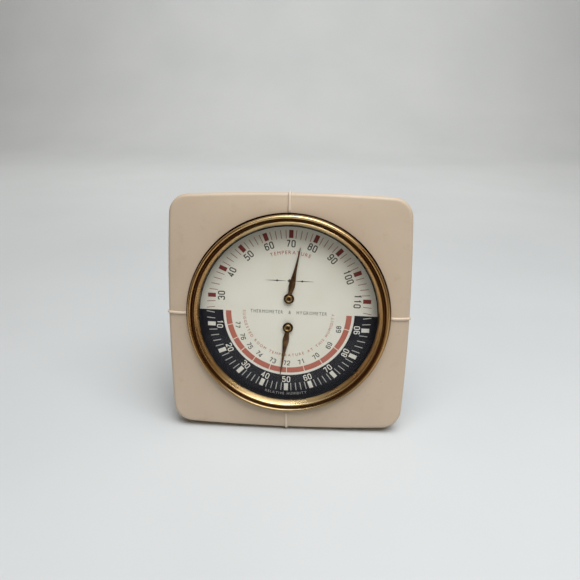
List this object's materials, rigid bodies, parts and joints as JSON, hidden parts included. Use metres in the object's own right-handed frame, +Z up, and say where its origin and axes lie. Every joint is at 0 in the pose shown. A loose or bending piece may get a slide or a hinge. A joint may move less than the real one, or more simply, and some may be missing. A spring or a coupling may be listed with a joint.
{
  "type": "dial hygrometer",
  "caption": "Square desk case with a round brass-rimmed dial, a temperature pointer above, a humidity pointer below, and a folding wire stand.",
  "frame": {"origin": "bottom of the part, under the middle of its outer box, on the table it stands on", "axes": "+Z up, +Y towards the back; the dial looks along -Y and leans back ten degrees; +X is to the right as the dial is read"},
  "size_m": [0.1216, 0.0602, 0.1206],
  "materials": {
    "case_plastic": "satin, moulded",
    "fibreboard": "dark pressed board",
    "can_steel": "zinc plated",
    "screw_steel": "plated",
    "bezel_brass": "polished, lacquered",
    "crystal_glass": "clear",
    "black_rubber": "matt",
    "dial_enamel": "printed cream and blue-black",
    "pointer_bronze": "bronzed",
    "movement_brass": "plain",
    "wire_steel": "plated",
    "bimetal": "rolled",
    "humidity_strip": "rolled, one face lined"
  },
  "bodies": {
    "case": {"front_case": "case_plastic", "back_panel": "fibreboard", "back_panel_screw_1": "screw_steel", "back_panel_screw_2": "screw_steel", "back_panel_screw_3": "screw_steel", "back_panel_screw_4": "screw_steel", "movement_can": "can_steel", "case_clip_1": "screw_steel", "case_clip_2": "screw_steel", "case_clip_3": "screw_steel", "case_clip_screw_1": "screw_steel", "case_clip_screw_2": "screw_steel", "case_clip_screw_3": "screw_steel", "bezel": "bezel_brass", "crystal": "crystal_glass", "crystal_gasket": "black_rubber", "dial_spacer_ring": "black_rubber", "dial_plate": "dial_enamel", "dial_foot_left": "movement_brass", "dial_foot_right": "movement_brass", "movement_plate": "screw_steel", "rear_bridge": "movement_brass", "movement_post_1": "movement_brass", "movement_post_2": "movement_brass", "movement_post_3": "movement_brass", "movement_screw_1": "screw_steel", "movement_screw_2": "screw_steel", "movement_screw_3": "screw_steel", "bridge_pillar_1": "movement_brass", "bridge_pillar_2": "movement_brass", "bridge_screw_1": "screw_steel", "bridge_screw_2": "screw_steel", "temperature_front_bush": "movement_brass", "temperature_rear_bush": "movement_brass", "humidity_front_bush": "movement_brass", "humidity_rear_bush": "movement_brass", "stand_bracket": "screw_steel", "bracket_rivet_left": "screw_steel", "bracket_rivet_right": "screw_steel"},
    "temperature_movement": {"temperature_spindle": "screw_steel", "temperature_pointer_hub": "movement_brass", "temperature_pointer": "pointer_bronze", "temperature_coil_collet": "movement_brass"},
    "temperature_adjuster": {"temperature_regulator": "movement_brass", "temperature_coil_stud": "movement_brass", "temperature_coil": "bimetal"},
    "humidity_movement": {"humidity_spindle": "screw_steel", "humidity_pointer_hub": "movement_brass", "humidity_pointer": "pointer_bronze", "humidity_coil_collet": "movement_brass"},
    "humidity_adjuster": {"humidity_regulator": "movement_brass", "humidity_coil_stud": "movement_brass", "humidity_coil": "humidity_strip"},
    "stand": {"stand_wire": "wire_steel", "stand_foot_sleeve": "black_rubber"}
  },
  "joints": [
    {"name": "temperature_reading", "type": "hinge", "parent": "case", "child": "temperature_movement", "pos_m": [0.00013, -0.01044, 0.06744], "axis": [0, -0.9848, 0.1736], "range_deg": [-92.9, 114.1], "stiffness_Nm_per_rad": 0.0005, "deforming": ["temperature_coil"]},
    {"name": "temperature_adjustment", "type": "hinge", "parent": "case", "child": "temperature_adjuster", "pos_m": [0.00013, -0.01044, 0.06744], "axis": [0, -0.9848, 0.1736], "range_deg": [-12, 12]},
    {"name": "humidity_reading", "type": "hinge", "parent": "case", "child": "humidity_movement", "pos_m": [-0.00013, -0.01304, 0.05267], "axis": [0, -0.9848, 0.1736], "range_deg": [-91.8, 106.2], "stiffness_Nm_per_rad": 0.0005, "deforming": ["humidity_coil"]},
    {"name": "humidity_adjustment", "type": "hinge", "parent": "case", "child": "humidity_adjuster", "pos_m": [-0.00013, -0.01304, 0.05267], "axis": [0, -0.9848, 0.1736], "range_deg": [-12, 12]},
    {"name": "stand_fold", "type": "hinge", "parent": "case", "child": "stand", "pos_m": [0, 0.00984, 0.06438], "axis": [-1, 0, 0], "range_deg": [0, 26]}
  ]
}
